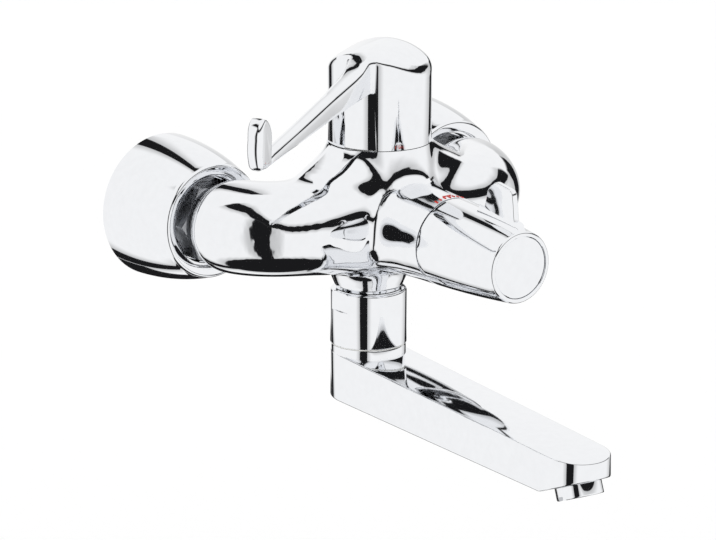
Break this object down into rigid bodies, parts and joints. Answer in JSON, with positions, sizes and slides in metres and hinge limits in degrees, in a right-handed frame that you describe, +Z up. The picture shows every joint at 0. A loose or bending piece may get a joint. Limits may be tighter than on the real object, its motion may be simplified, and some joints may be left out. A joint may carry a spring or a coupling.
{
  "type": "thermostatic wall mixer",
  "caption": "Chromed wall mixer for a wash basin: thermostat with winged front knob, long elbow lever on the domed top, flat swivelling spout below and bell covers over offset wall unions",
  "frame": {"origin": "on the wall plane, midway between the two wall threads", "axes": "+X to the right along the wall, +Y into the wall, +Z up; the user stands on the -Y side"},
  "size_m": [0.249, 0.2658, 0.1999],
  "materials": {
    "chrome": "polished chrome plate on brass",
    "raw_brass": "machined brass",
    "union_brass": "machined brass with cut threads",
    "ceramic": "lapped ceramic",
    "seal_rubber": "black rubber",
    "fibre": "fibre washer",
    "steel": "stainless wire and sheet",
    "white_plastic": "acetal",
    "grey_plastic": "glass filled nylon"
  },
  "bodies": {
    "fixture": {"body_casting": "chrome", "spout_connector": "chrome", "headpart_seal": "seal_rubber", "ceramic_disc_fixed": "ceramic", "headpart_body": "raw_brass", "guide_ring": "white_plastic", "thermostat_body": "grey_plastic", "thermostat_rings": "seal_rubber", "thermostat_spring": "steel", "thermostat_retainer": "raw_brass", "stop_ring": "white_plastic", "spout_rings": "seal_rubber", "slide_ring": "white_plastic", "escutcheon_left": "chrome", "s_union_left": "union_brass", "union_nut_left": "chrome", "inlet_gasket_left": "fibre", "inlet_tail_left": "raw_brass", "strainer_left": "steel", "check_valve_left": "grey_plastic", "check_spring_left": "steel", "escutcheon_right": "chrome", "s_union_right": "union_brass", "union_nut_right": "chrome", "inlet_gasket_right": "fibre", "inlet_tail_right": "raw_brass", "strainer_right": "steel", "check_valve_right": "grey_plastic", "check_spring_right": "steel"},
    "lever": {"lever_handle": "chrome", "lever_adapter": "white_plastic", "lever_grub_screw": "steel", "headpart_spindle": "raw_brass", "spindle_ring": "seal_rubber", "ceramic_disc_moving": "ceramic"},
    "knob": {"temperature_knob": "chrome", "knob_cap": "chrome", "knob_screw": "steel", "knob_adapter": "grey_plastic", "temperature_spindle": "raw_brass"},
    "shuttle": {"thermostat_shuttle": "white_plastic", "thermostat_element": "raw_brass"},
    "spout": {"spout_casting": "chrome", "spout_grub_screw": "steel", "aerator_housing": "chrome", "aerator_insert": "grey_plastic", "aerator_gasket": "seal_rubber"},
    "poppet_left": {"check_poppet_left": "white_plastic"},
    "poppet_right": {"check_poppet_right": "white_plastic"}
  },
  "joints": [
    {"name": "lever_swing", "type": "hinge", "parent": "fixture", "child": "lever", "pos_m": [0, -0.0797, 0.06], "axis": [0, 0, 1], "range_deg": [0, 90]},
    {"name": "temperature_turn", "type": "hinge", "parent": "fixture", "child": "knob", "pos_m": [0, -0.1369, 0.002], "axis": [0, -0.9994, -0.0349], "range_deg": [-160, 75]},
    {"name": "spout_swivel", "type": "hinge", "parent": "fixture", "child": "spout", "pos_m": [0, -0.0714, -0.08], "axis": [0, 0, 1], "range_deg": [-70, 70]},
    {"name": "shuttle_slide", "type": "slide", "parent": "fixture", "child": "shuttle", "axis": [0, -0.9994, -0.0349], "range_m": [-0.0015, 0.0015], "deforming": ["thermostat_spring"]},
    {"name": "poppet_left_lift", "type": "slide", "parent": "fixture", "child": "poppet_left", "axis": [0, -1, 0], "range_m": [0, 0.0025], "deforming": ["check_spring_left"]},
    {"name": "poppet_right_lift", "type": "slide", "parent": "fixture", "child": "poppet_right", "axis": [0, -1, 0], "range_m": [0, 0.0025], "deforming": ["check_spring_right"]}
  ],
  "couplings": [
    {"joint": "shuttle_slide", "follows": "temperature_turn", "m_per_rad": 0.0005}
  ]
}
